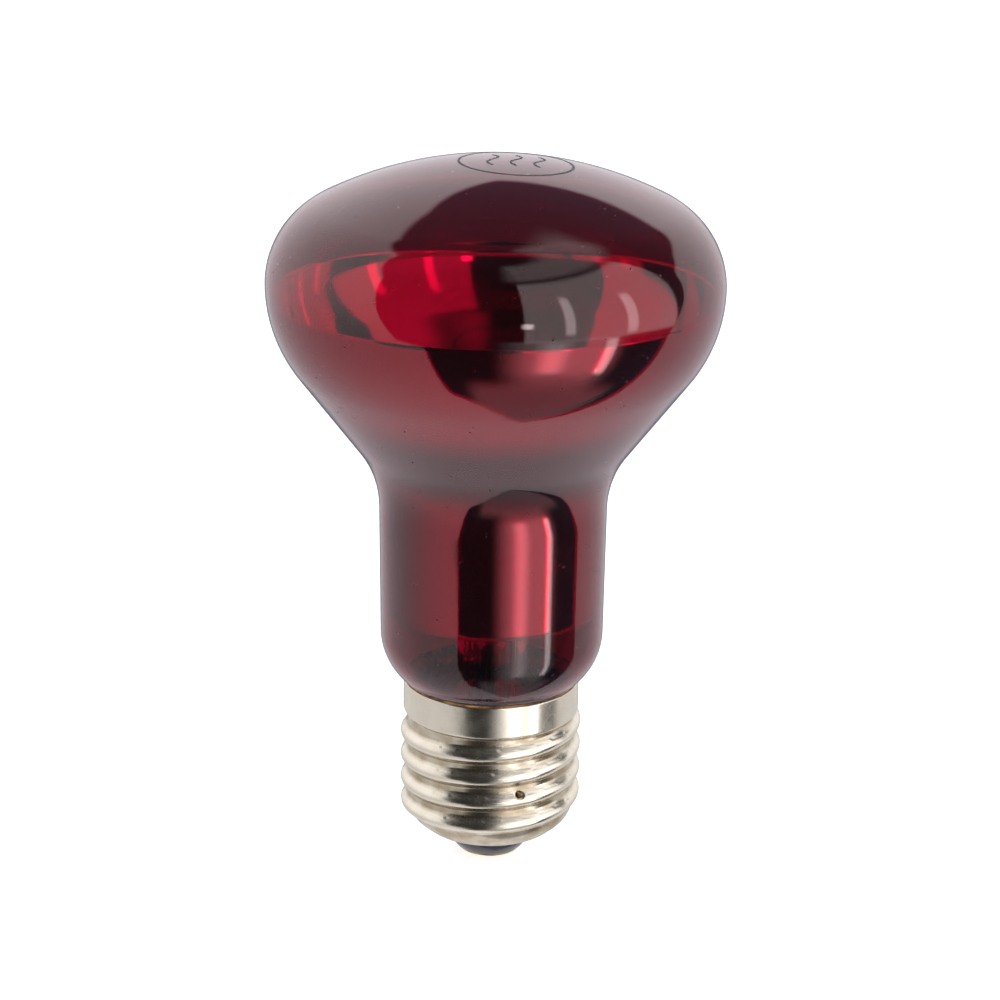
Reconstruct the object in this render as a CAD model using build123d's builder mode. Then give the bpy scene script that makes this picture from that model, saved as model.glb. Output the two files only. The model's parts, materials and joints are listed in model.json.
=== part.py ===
from build123d import *
from math import acos, asin, cos, degrees, radians, sin, tan
import os

# Infrared reflector lamp: a ruby glass reflector bulb on an E27 screw cap.
# Millimetres, +Z up, the lamp stands cap down. The origin is the middle of the flat under the
# centre contact, and the lamp's axis is Z.

# ---------------------------------------------------------------- driving dimensions
# Glass bulb, outer surface
overall_length = 103.2
bulb_d = 64.0
crown_r = 55.2            # radius of the flat dome on top
shoulder_r = 12.7         # rounding between the dome and the widest ring
belly_r = 20.2            # rounding below the widest ring
cone_angle = 37.2         # reflector's straight flank, degrees from the axis
throat_r = 15.2           # hollow curve from the flank into the neck
neck_d = 32.45            # neck at its upper end
neck_taper = 0.6          # degrees, the neck narrows downwards
cap_entry_d = 24.37       # glass at the rim of the cap, below the rounded foot of the neck
heel_angle = 54.4         # degrees from the axis where the glass enters the cap
seal_neck_d = 22.0        # hidden neck end inside the cap
seal_z = 19.5             # where the bulb is fused to the flare
bulb_wall = 0.8

# Mirror film
film_thickness = 0.12     # stands for an evaporated film
mirror_edge_drop = 1.1    # below the widest ring
mirror_foot_z = 38.5      # lower edge of the mirror, on the neck

# Screw cap, E27
cap_rim_z = 27.25
thread_crest_d = 26.2
thread_root_d = 24.26
thread_pitch = 3.629      # seven turns to the inch
thread_round = 1.025      # radius of crest and root
shell_wall = 0.3
collar_d = 25.4
collar_z = 22.4           # underside of the collar
first_crest_z = 7.1       # crest at the start of the thread, on +Y
thread_turns = 4
ridge_root_r = 11.2       # buried foot of the ridge
taper_top_z = 8.6         # where the shell starts to draw in
taper_shoulder_r = 4.0
taper_angle = 50.0        # degrees from the axis
taper_length = 1.2
lip_bend_r = 3.0
lip_angle = 70.0
lip_r = 6.5               # radius of the shell's lower opening
lead_hole_z = 25.3        # hole in the collar for the shell lead, on +Y
groove_slope_angle = 20.0 # degrees, the thread's flank where it meets the groove
ridge_foot_angle = 5.0    # degrees, the same flank at its buried foot

# Base insulator and contact
insulator_foot_d = 9.8
insulator_foot_z = 0.85
insulator_top_z = 7.0
insulator_neck_r = 6.0    # where it comes out of the shell's lip
insulator_neck_z = 3.2
insulator_neck_rise = 2.2 # the neck's run up inside the shell
insulator_bulge = 0.25
insulator_bore_d = 2.4
plate_d = 9.0
plate_thickness = 0.4
plate_edge_r = 0.25
plate_hub_height = 1.6
solder_d = 5.2
solder_flat_d = 3.2
solder_round = 0.2

# Cement
cement_foot_z = 23.7
cement_bead = 0.3         # height of the bead above the rim
cement_bead_d = 25.1

# Side solder
side_solder_r = 1.5
side_solder_height = 0.55
side_solder_round = 0.44

# Stem
stem_wall = 0.8
seal_drop = 0.3           # straight run of the flare below the seal
flare_turn_r = 1.3        # U-turn under the seal, on the middle of the wall
flare_bend_r = 6.0
flare_bend_angle = 40.0
stem_d = 10.0
stem_rise_z = 21.0        # foot of the flare's slope
press_foot_z = 43.0
press_blend = 4.5
press_height = 4.5
press_width = 11.0
press_thickness = 3.2
press_corner_r = 1.2
exhaust_d = 4.4
exhaust_bore_d = 2.8
exhaust_tip_z = 13.5
exhaust_tip_length = 3.0
exhaust_tip_skin = 0.9
exhaust_tip_slope = 0.4   # rise over run of the closed tip at the axis
exhaust_port_d = 1.6
exhaust_port_height = 3.8
arbor_d = 2.4
button_d = 4.2
button_drop = 7.0         # middle of the button below the filament

# Wires
lead_spacing = 6.6
seal_wire_d = 0.4
seal_wire_proud = 0.5
inner_lead_d = 0.5
outer_lead_d = 0.5
support_wire_d = 0.3
support_buried = 1.2
support_loop_gap = 0.02
support_knee = 5.5
support_knee_rise = 0.8
support_bend_r = 1.5
fuse_wire_d = 0.2
fuse_length = 11.0
fuse_sleeve_d = 1.4
fuse_sleeve_overlap = 1.5
crimp_wall = 0.35
crimp_length = 1.7
crimp_lip = 0.2           # crimp beyond the filament's tip
inner_lead_straight = 3.0
inner_lead_bend_r = 1.5
crimp_rise = 4.0          # last straight run of an inner lead
outer_lead_bend_r = 2.0
lead_corner_r = 0.7
lead_clearance = 0.6
centre_lead_knee_z = 15.0
centre_lead_foot_z = 9.0

# Filament
filament_drop = 31.0      # below the crown
filament_ring_d = 18.0
filament_coil_d = 0.9
filament_coil_bore_d = 0.6
filament_gap_angle = 80.0
filament_tail = 2.0
support_count = 4

# ---------------------------------------------------------------- worked-out sizes
bulb_r = bulb_d / 2
neck_r = neck_d / 2
seal_neck_r = seal_neck_d / 2
crown_angle = asin((bulb_r - shoulder_r) / (crown_r - shoulder_r))
ring_z = overall_length - crown_r * (1 - cos(crown_angle)) - shoulder_r * cos(crown_angle)
cone = radians(cone_angle)
taper = radians(neck_taper)
heel = radians(heel_angle)
cone_run = bulb_r - neck_r - belly_r * (1 - cos(cone)) - throat_r * (cos(taper) - cos(cone))
cone_length = cone_run / sin(cone)
throat_foot_z = (
    ring_z - belly_r * sin(cone) - cone_length * cos(cone) - throat_r * (sin(cone) - sin(taper))
)
heel_draw = cos(taper) - cos(heel)
heel_fall = sin(heel) - sin(taper)
entry_step = neck_r - (throat_foot_z - cap_rim_z) * tan(taper) - cap_entry_d / 2
heel_r = entry_step / (heel_draw - heel_fall * tan(taper))
neck_length = (throat_foot_z - cap_rim_z - heel_r * heel_fall) / cos(taper)
tuck_r = (cap_entry_d / 2 - seal_neck_r) / (1 - cos(heel))
mirror_edge = asin(mirror_edge_drop / belly_r)
mirror_neck_run = (throat_foot_z - mirror_foot_z) / cos(taper)

crest_r = thread_crest_d / 2
root_r = thread_root_d / 2
collar_r = collar_d / 2
groove_slope = radians(groove_slope_angle)
foot_slope = radians(ridge_foot_angle)
groove_r = root_r + thread_round * (1 - cos(groove_slope))
crest_centre_r = crest_r - thread_round
root_centre_r = root_r + thread_round
flank_angle = acos((root_centre_r - crest_centre_r) / (2 * thread_round))
half_pitch = 2 * thread_round * sin(flank_angle)

filament_z = overall_length - filament_drop
filament_ring_r = filament_ring_d / 2
coil_r = filament_coil_d / 2
button_z = filament_z - button_drop
press_top_z = press_foot_z + press_blend + press_height
seal_wire_foot_z = press_foot_z - seal_wire_proud
seal_wire_top_z = press_top_z + seal_wire_proud
lead_x = lead_spacing / 2
fuse_foot_z = seal_wire_foot_z - fuse_length
seal_mid_r = seal_neck_r - bulb_wall / 2
lead_gap_r = (seal_neck_r + groove_r - shell_wall) / 2
plate_foot_z = insulator_foot_z - plate_thickness

os.makedirs("parts", exist_ok=True)


def save(piece, name):
    """Label a finished piece and write it under its own name."""
    piece.part.label = name
    export_step(piece.part, f"parts/{name}.step")


def at_azimuth(angle, r, z):
    """Point at this angle, in degrees, round the lamp's axis."""
    return Vector(r * cos(radians(angle)), r * sin(radians(angle)), z)


def reflector_line(inset, neck_run):
    """Meridian of the reflector and the neck, from the mirror's upper edge down."""
    centre = Vector(bulb_r - belly_r, ring_z)
    start = centre + (belly_r - inset) * Vector(cos(mirror_edge), -sin(mirror_edge))
    heading = Vector(-sin(mirror_edge), -cos(mirror_edge))
    belly = JernArc(start, heading, belly_r - inset, -(cone_angle - degrees(mirror_edge)))
    flank = Line(belly @ 1, belly @ 1 + cone_length * (belly % 1))
    throat = JernArc(flank @ 1, flank % 1, throat_r + inset, cone_angle - neck_taper)
    neck = Line(throat @ 1, throat @ 1 + neck_run * (throat % 1))
    return start, neck @ 1, neck % 1


def bulb_form(inset):
    """Solid inside the bulb's outer surface, set in by the given distance."""
    with BuildPart() as form:
        with BuildSketch(Plane.XZ):
            with BuildLine():
                crown_degrees = degrees(crown_angle)
                crown = JernArc((0, overall_length - inset), (1, 0), crown_r - inset, -crown_degrees)
                shoulder = JernArc(
                    crown @ 1, crown % 1, shoulder_r - inset, -(90 - crown_degrees)
                )
                JernArc(shoulder @ 1, shoulder % 1, belly_r - inset, -degrees(mirror_edge))
                start, foot, heading = reflector_line(inset, neck_length)
                heel_arc = JernArc(foot, heading, heel_r - inset, -(heel_angle - neck_taper))
                tuck = JernArc(heel_arc @ 1, heel_arc % 1, tuck_r + inset, heel_angle)
                neck_end = Line(tuck @ 1, (seal_neck_r - inset, seal_z))
                Line(neck_end @ 1, (0, seal_z))
                Line((0, seal_z), crown @ 0)
            make_face()
        revolve(axis=Axis.Z)
    return form.part


def wire_run(points, bends, diameter):
    """Round wire along straight runs joined by bends."""
    with BuildPart() as wire:
        with BuildLine() as route:
            FilletPolyline(*points, radius=bends)
        with BuildSketch(Plane(route.line @ 0, z_dir=route.line % 0)):
            Circle(diameter / 2)
        sweep(path=route.line)
    return wire.part


def shell_form(inset):
    """Solid inside the screw shell's outer surface, set in by the given distance."""
    with BuildPart() as form:
        # plain body: collar, groove level and the tapered foot
        with BuildSketch(Plane.XZ):
            with BuildLine():
                collar = Polyline(
                    (0, cap_rim_z),
                    (collar_r - inset, cap_rim_z),
                    (collar_r - inset, collar_z + inset),
                    (groove_r - inset, collar_z + inset),
                    (groove_r - inset, taper_top_z),
                )
                bend = JernArc(collar @ 1, (0, -1), taper_shoulder_r - inset, -taper_angle)
                slope = Line(bend @ 1, bend @ 1 + taper_length * (bend % 1))
                turn = JernArc(slope @ 1, slope % 1, lip_bend_r - inset, -(lip_angle - taper_angle))
                reach = ((turn @ 1).X - lip_r + inset) / sin(radians(lip_angle))
                lip = Line(turn @ 1, turn @ 1 + reach * (turn % 1))
                Polyline(lip @ 1, (0, (lip @ 1).Y), (0, cap_rim_z))
            make_face()
        revolve(axis=Axis.Z)
        # thread: one rounded ridge, crest and foot joined by tangent arcs
        with BuildLine(Plane((0, 0, first_crest_z), x_dir=(0, 1, 0), z_dir=(0, 0, 1))) as turns:
            Helix(thread_pitch, thread_pitch * thread_turns, crest_centre_r)
        crest_round = thread_round - inset
        root_round = thread_round + inset
        foot_r = root_centre_r - root_round * cos(foot_slope)
        foot_rise = half_pitch - root_round * sin(foot_slope)
        with BuildSketch(Plane.YZ):
            with BuildLine():
                for side in (1, -1):
                    crest = CenterArc(
                        (crest_centre_r, first_crest_z), crest_round, 0, side * degrees(flank_angle)
                    )
                    foot = (foot_r, first_crest_z + side * foot_rise)
                    RadiusArc(crest @ 1, foot, side * root_round)
                    Line(foot, (ridge_root_r, foot[1]))
                Line((ridge_root_r, first_crest_z - foot_rise), (ridge_root_r, first_crest_z + foot_rise))
            make_face()
        sweep(path=turns.line, is_frenet=True)
    return form.part


# ---------------------------------------------------------------- glass bulb and its mirror
bulb_outside = bulb_form(0)

with BuildPart() as glass_bulb:
    add(bulb_outside)
    add(bulb_form(bulb_wall), mode=Mode.SUBTRACT)
save(glass_bulb, "glass_bulb")

with BuildPart() as mirror_coating:
    with BuildSketch(Plane.XZ):
        with BuildLine():
            glass_top, glass_foot, _ = reflector_line(bulb_wall, mirror_neck_run)
            film_top, film_foot, _ = reflector_line(bulb_wall + film_thickness, mirror_neck_run)
            Line(glass_top, film_top)
            Line(glass_foot, film_foot)
        make_face()
    revolve(axis=Axis.Z)
save(mirror_coating, "mirror_coating")

# ---------------------------------------------------------------- stem: flare, press and exhaust tube
stem_r = stem_d / 2
flare_bend_run = seal_mid_r - 2 * flare_turn_r - (stem_r - stem_wall / 2)
bend = radians(flare_bend_angle)
flare_slope = (flare_bend_run - 2 * flare_bend_r * (1 - cos(bend))) / sin(bend)


def flare_line(side):
    """One face of the flare's wall, from the fused rim to the foot of the press."""
    drop = Line((seal_mid_r + side, seal_z), (seal_mid_r + side, seal_z - seal_drop))
    turn = JernArc(drop @ 1, drop % 1, flare_turn_r + side, -180)
    rise = Line(turn @ 1, ((turn @ 1).X, stem_rise_z))
    inward = JernArc(rise @ 1, rise % 1, flare_bend_r - side, flare_bend_angle)
    slope = Line(inward @ 1, inward @ 1 + flare_slope * (inward % 1))
    upward = JernArc(slope @ 1, slope % 1, flare_bend_r + side, -flare_bend_angle)
    tube = Line(upward @ 1, ((upward @ 1).X, press_foot_z))
    return drop @ 0, tube @ 1


with BuildPart() as stem_flare:
    with BuildSketch(Plane.XZ):
        with BuildLine():
            outer_rim, outer_end = flare_line(stem_wall / 2)
            inner_rim, inner_end = flare_line(-stem_wall / 2)
            Line(outer_rim, inner_rim)
            Line(outer_end, inner_end)
        make_face()
    revolve(axis=Axis.Z)
    # press: the tube's end squeezed flat round the wires
    with BuildSketch(Plane.XY.offset(press_foot_z)):
        Circle(stem_r)
    with BuildSketch(Plane.XY.offset(press_foot_z + press_blend)):
        RectangleRounded(press_width, press_thickness, press_corner_r)
    loft()
    with BuildSketch(Plane.XY.offset(press_foot_z + press_blend)):
        RectangleRounded(press_width, press_thickness, press_corner_r)
    extrude(amount=press_height)
    # channels for the seal wires
    with BuildSketch(Plane.XY.offset(press_foot_z)):
        with Locations((-lead_x, 0), (lead_x, 0)):
            Circle(seal_wire_d / 2)
    extrude(amount=press_blend + press_height, mode=Mode.SUBTRACT)
    # pumping port, up from the exhaust tube and out through one face of the press
    with BuildSketch(Plane.XY.offset(press_foot_z)):
        Circle(exhaust_port_d / 2)
    extrude(amount=exhaust_port_height, mode=Mode.SUBTRACT)
    with BuildSketch(Plane.XZ):
        with Locations((0, press_foot_z + exhaust_port_height)):
            Circle(exhaust_port_d / 2)
    extrude(amount=-stem_d, mode=Mode.SUBTRACT)
save(stem_flare, "stem_flare")

exhaust_r = exhaust_d / 2
exhaust_bore_r = exhaust_bore_d / 2

with BuildPart() as exhaust_tube:
    with BuildSketch(Plane.XZ):
        with BuildLine():
            tip_top_z = exhaust_tip_z + exhaust_tip_length
            outer_wall = Line((exhaust_r, press_foot_z), (exhaust_r, tip_top_z))
            tip = Spline(
                outer_wall @ 1, (0, exhaust_tip_z), tangents=[(0, -1), (-1, -exhaust_tip_slope)]
            )
            Line(tip @ 1, (0, exhaust_tip_z + exhaust_tip_skin))
            inner_tip = Spline(
                (0, exhaust_tip_z + exhaust_tip_skin), (exhaust_bore_r, tip_top_z),
                tangents=[(1, exhaust_tip_slope), (0, 1)],
            )
            inner_wall = Line(inner_tip @ 1, (exhaust_bore_r, press_foot_z))
            Line(inner_wall @ 1, outer_wall @ 0)
        make_face()
    revolve(axis=Axis.Z)
save(exhaust_tube, "exhaust_tube")

# ---------------------------------------------------------------- filament
half_gap = filament_gap_angle / 2
ring_start = -90 + half_gap
ring_sweep = 360 - filament_gap_angle
tail_ways = {}
crimp_centres = {}
for side in (1, -1):
    end_angle = -90 + side * half_gap
    tail_way = -side * at_azimuth(end_angle + 90, 1, 0)
    tail_ways[side] = tail_way
    ring_end = at_azimuth(end_angle, filament_ring_r, filament_z)
    crimp_centres[side] = ring_end + (filament_tail - crimp_length / 2 + crimp_lip) * tail_way

with BuildPart() as filament:
    with BuildLine(Plane.XY.offset(filament_z)) as coil_line:
        ring = CenterArc((0, 0), filament_ring_r, ring_start, ring_sweep)
        Line(ring @ 0, ring @ 0 - filament_tail * (ring % 0))
        Line(ring @ 1, ring @ 1 + filament_tail * (ring % 1))
    tail_end = at_azimuth(ring_start, filament_ring_r, filament_z) + filament_tail * tail_ways[1]
    with BuildSketch(Plane(tail_end, z_dir=-tail_ways[1])):
        Circle(coil_r)
        Circle(filament_coil_bore_d / 2, mode=Mode.SUBTRACT)
    sweep(path=coil_line.line)
save(filament, "filament")

# ---------------------------------------------------------------- supports and arbor
support_loop_r = coil_r + support_loop_gap + support_wire_d / 2
support_wires = []
for index in range(support_count):
    azimuth = ring_start + ring_sweep * (index + 0.5) / support_count
    outward = at_azimuth(azimuth, 1, 0)
    wire_plane = Plane((0, 0, button_z), x_dir=outward, z_dir=outward.cross(Vector(0, 0, 1)))
    with BuildPart() as support_wire:
        with BuildLine(wire_plane) as route:
            FilletPolyline(
                (button_d / 2 - support_buried, 0),
                (support_knee, support_knee_rise),
                (filament_ring_r, button_drop - support_loop_r),
                radius=support_bend_r,
            )
        with BuildSketch(Plane(route.line @ 0, z_dir=route.line % 0)):
            Circle(support_wire_d / 2)
        sweep(path=route.line)
        loop_plane = Plane(at_azimuth(azimuth, filament_ring_r, filament_z), x_dir=outward, z_dir=(0, 0, 1))
        with BuildSketch(loop_plane):
            with Locations((support_loop_r, 0)):
                Circle(support_wire_d / 2)
        revolve(axis=Axis(loop_plane.origin, loop_plane.y_dir))
    support_wires.append(support_wire)
    save(support_wire, f"support_wire_{index + 1}")

with BuildPart() as arbor_rod:
    with BuildSketch(Plane.XY.offset(press_top_z)):
        Circle(arbor_d / 2)
    extrude(amount=button_z - press_top_z)
    with Locations((0, 0, button_z)):
        Sphere(button_d / 2)
    for support_wire in support_wires:
        add(support_wire.part, mode=Mode.SUBTRACT)
save(arbor_rod, "arbor_rod")

# ---------------------------------------------------------------- wires through the seal
crimp_bore_r = coil_r
crimp_outer_r = crimp_bore_r + crimp_wall
for index, side in enumerate((-1, 1), start=1):
    x = side * lead_x
    with BuildPart() as seal_wire:
        with BuildSketch(Plane.XY.offset(seal_wire_foot_z)):
            with Locations((x, 0)):
                Circle(seal_wire_d / 2)
        extrude(amount=seal_wire_top_z - seal_wire_foot_z)
    save(seal_wire, f"seal_wire_{index}")

    crimp = crimp_centres[side]
    way = tail_ways[side]
    knee = Vector(x, 0, seal_wire_top_z + inner_lead_straight)
    under_crimp = crimp - Vector(0, 0, crimp_rise)
    with BuildPart() as inner_lead:
        add(
            wire_run(
                [
                    Vector(x, 0, seal_wire_top_z),
                    knee,
                    under_crimp,
                    crimp - Vector(0, 0, crimp_bore_r + crimp_wall / 2),
                ],
                inner_lead_bend_r,
                inner_lead_d,
            )
        )
        with BuildSketch(Plane(crimp - crimp_length / 2 * way, z_dir=way)):
            Circle(crimp_outer_r)
        extrude(amount=crimp_length)
        with BuildSketch(Plane(crimp - crimp_length / 2 * way, z_dir=way)):
            Circle(crimp_bore_r)
        extrude(amount=crimp_length, mode=Mode.SUBTRACT)
    save(inner_lead, f"inner_lead_{index}")

# ---------------------------------------------------------------- outer leads and fuse
centre_lead_x = -lead_x
with BuildPart() as fuse_wire:
    with BuildSketch(Plane.XY.offset(fuse_foot_z)):
        with Locations((centre_lead_x, 0)):
            Circle(fuse_wire_d / 2)
    extrude(amount=fuse_length)
save(fuse_wire, "fuse_wire")

with BuildPart() as fuse_sleeve:
    with BuildSketch(Plane.XY.offset(fuse_foot_z - fuse_sleeve_overlap)):
        with Locations((centre_lead_x, 0)):
            Circle(fuse_sleeve_d / 2)
            Circle(outer_lead_d / 2, mode=Mode.SUBTRACT)
    extrude(amount=fuse_length)
save(fuse_sleeve, "fuse_sleeve")

centre_run = wire_run(
    [
        (centre_lead_x, 0, fuse_foot_z),
        (centre_lead_x, 0, centre_lead_knee_z),
        (0, 0, centre_lead_foot_z),
        (0, 0, plate_foot_z),
    ],
    outer_lead_bend_r,
    outer_lead_d,
)
with BuildPart() as centre_lead:
    add(centre_run)
save(centre_lead, "centre_lead")

under_seal_z = seal_z - seal_drop - flare_turn_r - stem_wall / 2 - lead_clearance - outer_lead_d / 2
shell_run = wire_run(
    [
        (lead_x, 0, seal_wire_foot_z),
        (lead_x, 0, stem_rise_z),
        (lead_x / 2, lead_gap_r / 2, under_seal_z),
        (0, lead_gap_r, under_seal_z),
        (0, lead_gap_r, lead_hole_z),
        (0, collar_r + side_solder_height / 2, lead_hole_z),
    ],
    (outer_lead_bend_r, outer_lead_bend_r, lead_corner_r, lead_corner_r),
    outer_lead_d,
)
with BuildPart() as shell_lead:
    add(shell_run)
save(shell_lead, "shell_lead")

# ---------------------------------------------------------------- cement
with BuildPart() as cement_ring:
    with BuildSketch(Plane.XY.offset(cement_foot_z)):
        Circle(collar_r - shell_wall)
    extrude(amount=cap_rim_z - cement_foot_z)
    with BuildSketch(Plane.XY.offset(cap_rim_z)):
        Circle(cement_bead_d / 2)
    extrude(amount=cement_bead)
    add(bulb_outside, mode=Mode.SUBTRACT)
    add(shell_run, mode=Mode.SUBTRACT)
save(cement_ring, "cement_ring")

# ---------------------------------------------------------------- screw shell
shell_outside = shell_form(0)
shell_inside = shell_form(shell_wall)

with BuildPart() as screw_shell:
    add(shell_outside)
    add(shell_inside, mode=Mode.SUBTRACT)
    with BuildSketch(Plane.XZ):
        with Locations((0, lead_hole_z)):
            Circle(outer_lead_d / 2)
    extrude(amount=-crest_r, mode=Mode.SUBTRACT)
    # opening in the lip for the insulator
    with BuildSketch(Plane.XY):
        Circle(insulator_neck_r)
    extrude(amount=taper_top_z, mode=Mode.SUBTRACT)
save(screw_shell, "screw_shell")

# ---------------------------------------------------------------- base insulator
insulator_foot_r = insulator_foot_d / 2
with BuildPart() as base_insulator:
    # fills the foot of the shell, and shows below the shell's lip
    with BuildSketch(Plane.XY.offset(insulator_foot_z)):
        Circle(crest_r)
    extrude(amount=insulator_top_z - insulator_foot_z)
    add(shell_inside, mode=Mode.INTERSECT)
    with BuildSketch(Plane.XZ):
        with BuildLine():
            edge = Line((0, insulator_foot_z), (insulator_foot_r, insulator_foot_z))
            flare = ThreePointArc(
                edge @ 1,
                ((insulator_foot_r + insulator_neck_r) / 2 + insulator_bulge,
                 (insulator_foot_z + insulator_neck_z) / 2 - insulator_bulge),
                (insulator_neck_r, insulator_neck_z),
            )
            neck_top_z = insulator_neck_z + insulator_neck_rise
            Polyline(flare @ 1, (insulator_neck_r, neck_top_z), (0, neck_top_z), edge @ 0)
        make_face()
    revolve(axis=Axis.Z)
    with BuildSketch(Plane.XY.offset(insulator_foot_z)):
        Circle(insulator_bore_d / 2)
    extrude(amount=insulator_top_z - insulator_foot_z, mode=Mode.SUBTRACT)
save(base_insulator, "base_insulator")

# ---------------------------------------------------------------- centre contact
with BuildPart() as contact_plate:
    with BuildSketch(Plane.XY.offset(plate_foot_z)):
        Circle(plate_d / 2)
    extrude(amount=plate_thickness)
    fillet(contact_plate.faces().sort_by(Axis.Z)[0].edges(), plate_edge_r)
    with BuildSketch(Plane.XY.offset(insulator_foot_z)):
        Circle(insulator_bore_d / 2)
    extrude(amount=plate_hub_height)
    with BuildSketch(Plane.XY.offset(plate_foot_z)):
        Circle(outer_lead_d / 2)
    extrude(amount=plate_thickness + plate_hub_height, mode=Mode.SUBTRACT)
save(contact_plate, "contact_plate")

with BuildPart() as centre_solder:
    with BuildSketch(Plane.XZ):
        with BuildLine():
            top = Line((0, plate_foot_z), (solder_d / 2, plate_foot_z))
            dome = ThreePointArc(
                top @ 1,
                (solder_d / 2 - solder_round, plate_foot_z - solder_round),
                (solder_flat_d / 2, 0),
            )
            Polyline(dome @ 1, (0, 0), top @ 0)
        make_face()
    revolve(axis=Axis.Z)
save(centre_solder, "centre_solder")

# ---------------------------------------------------------------- side solder
with BuildPart() as side_solder:
    with BuildSketch(Plane.XZ.offset(-collar_r + shell_wall / 2)):
        with Locations((0, lead_hole_z)):
            Circle(side_solder_r)
    extrude(amount=-(side_solder_height + shell_wall / 2))
    fillet(side_solder.faces().sort_by(Axis.Y)[-1].edges(), side_solder_round)
    with BuildSketch(Plane.XY.offset(collar_z)):
        Circle(collar_r)
    extrude(amount=cap_rim_z - collar_z, mode=Mode.SUBTRACT)
    add(shell_run, mode=Mode.SUBTRACT)
save(side_solder, "side_solder")
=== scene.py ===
"""Looks of an infrared reflector lamp: a ruby glass bulb, mirrored inside, on a nickel-plated screw cap.

Sizes in the classes are millimetres and match the frame. Meshes are made in metres.
"""

import json
import logging
import math
from dataclasses import dataclass
from enum import Enum

import bpy
import numpy as np
from mathutils import Matrix, Vector

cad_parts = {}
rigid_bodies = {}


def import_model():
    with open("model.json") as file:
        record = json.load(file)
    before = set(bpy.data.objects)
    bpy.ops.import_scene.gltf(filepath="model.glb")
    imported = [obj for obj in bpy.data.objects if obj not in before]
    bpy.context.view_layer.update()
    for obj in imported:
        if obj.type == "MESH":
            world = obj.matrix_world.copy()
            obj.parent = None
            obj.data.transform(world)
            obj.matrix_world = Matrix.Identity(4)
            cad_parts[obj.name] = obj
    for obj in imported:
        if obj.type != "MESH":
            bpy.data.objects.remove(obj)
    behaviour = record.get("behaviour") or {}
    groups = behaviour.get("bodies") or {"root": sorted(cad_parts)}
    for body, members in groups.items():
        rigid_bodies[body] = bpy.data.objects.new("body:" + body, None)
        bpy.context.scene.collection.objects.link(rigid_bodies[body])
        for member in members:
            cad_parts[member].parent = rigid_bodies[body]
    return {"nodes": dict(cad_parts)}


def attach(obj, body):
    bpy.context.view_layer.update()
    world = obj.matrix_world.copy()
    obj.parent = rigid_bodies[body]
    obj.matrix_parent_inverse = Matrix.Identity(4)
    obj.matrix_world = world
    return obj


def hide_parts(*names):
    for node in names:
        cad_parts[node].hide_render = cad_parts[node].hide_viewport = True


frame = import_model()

Tree = bpy.types.NodeTree
Socket = bpy.types.NodeSocket
Piece = bpy.types.Object
LOG = logging.getLogger("lamp")
MM = 0.001

# ------------------------------------------------------------------ shared helpers


def linear(code: str) -> tuple[float, float, float, float]:
    """Turn an sRGB hex colour into linear RGBA.

    Args:
        code: six hex digits, without a sign in front.

    Returns:
        Linear red, green, blue and an alpha of 1.
    """
    parts = [int(code[i : i + 2], 16) / 255 for i in (0, 2, 4)]
    bent = [c / 12.92 if c <= 0.04045 else ((c + 0.055) / 1.055) ** 2.4 for c in parts]
    return (*bent, 1.0)


def per(size_mm: float) -> float:
    """Texture scale whose features are about this many millimetres wide."""
    return 1 / (size_mm * MM)


def node(
    tree: Tree,
    kind: str,
    settings: dict | None = None,
    inputs: dict | None = None,
) -> bpy.types.Node:
    """Add a node with its settings and links.

    Args:
        tree: the node tree that gets the node.
        kind: the node's type, without its "ShaderNode" prefix.
        settings: attributes of the node.
        inputs: socket name or index, and a value or the output socket that feeds it.

    Returns:
        The new node.
    """
    made = tree.nodes.new("ShaderNode" + kind)
    for name, value in (settings or {}).items():
        setattr(made, name, value)
    for socket, value in (inputs or {}).items():
        if isinstance(value, Socket):
            tree.links.new(value, made.inputs[socket])
        else:
            made.inputs[socket].default_value = value
    return made


def set_ramp(ramp: bpy.types.Node, stops: list[tuple[float, tuple]]) -> None:
    """Give a Color Ramp node its stops, each a place from 0 to 1 and a colour."""
    elements = ramp.color_ramp.elements
    while len(elements) < len(stops):
        elements.new(0.5)
    for element, (place, colour) in zip(elements, stops):
        element.position = place
        element.color = colour


def put_mesh(name: str, points: np.ndarray, faces: list[tuple[int, ...]]) -> Piece:
    """Make a smooth-shaded mesh object from points in millimetres.

    Args:
        name: the piece's name.
        points: one row of x, y, z for each vertex.
        faces: vertex indices of each face.

    Returns:
        The new object, linked to the scene.
    """
    mesh = bpy.data.meshes.new(name)
    mesh.from_pydata((np.asarray(points, float) * MM).tolist(), [], faces)
    mesh.polygons.foreach_set("use_smooth", np.ones(len(mesh.polygons), bool))
    mesh.update()
    made = bpy.data.objects.new(name, mesh)
    bpy.context.scene.collection.objects.link(made)
    return made


def grid_faces(rows: int, columns: int, wrap_rows: bool) -> list[tuple[int, ...]]:
    """Quads of a grid that closes round its columns, and round its rows if asked.

    Args:
        rows: number of rings.
        columns: number of points in a ring.
        wrap_rows: whether the last ring joins the first.

    Returns:
        Four vertex indices for each quad.
    """
    faces = []
    for row in range(rows if wrap_rows else rows - 1):
        low, high = row * columns, (row + 1) % rows * columns
        for column in range(columns):
            beside = (column + 1) % columns
            faces.append((low + column, high + column, high + beside, low + beside))
    return faces


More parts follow.
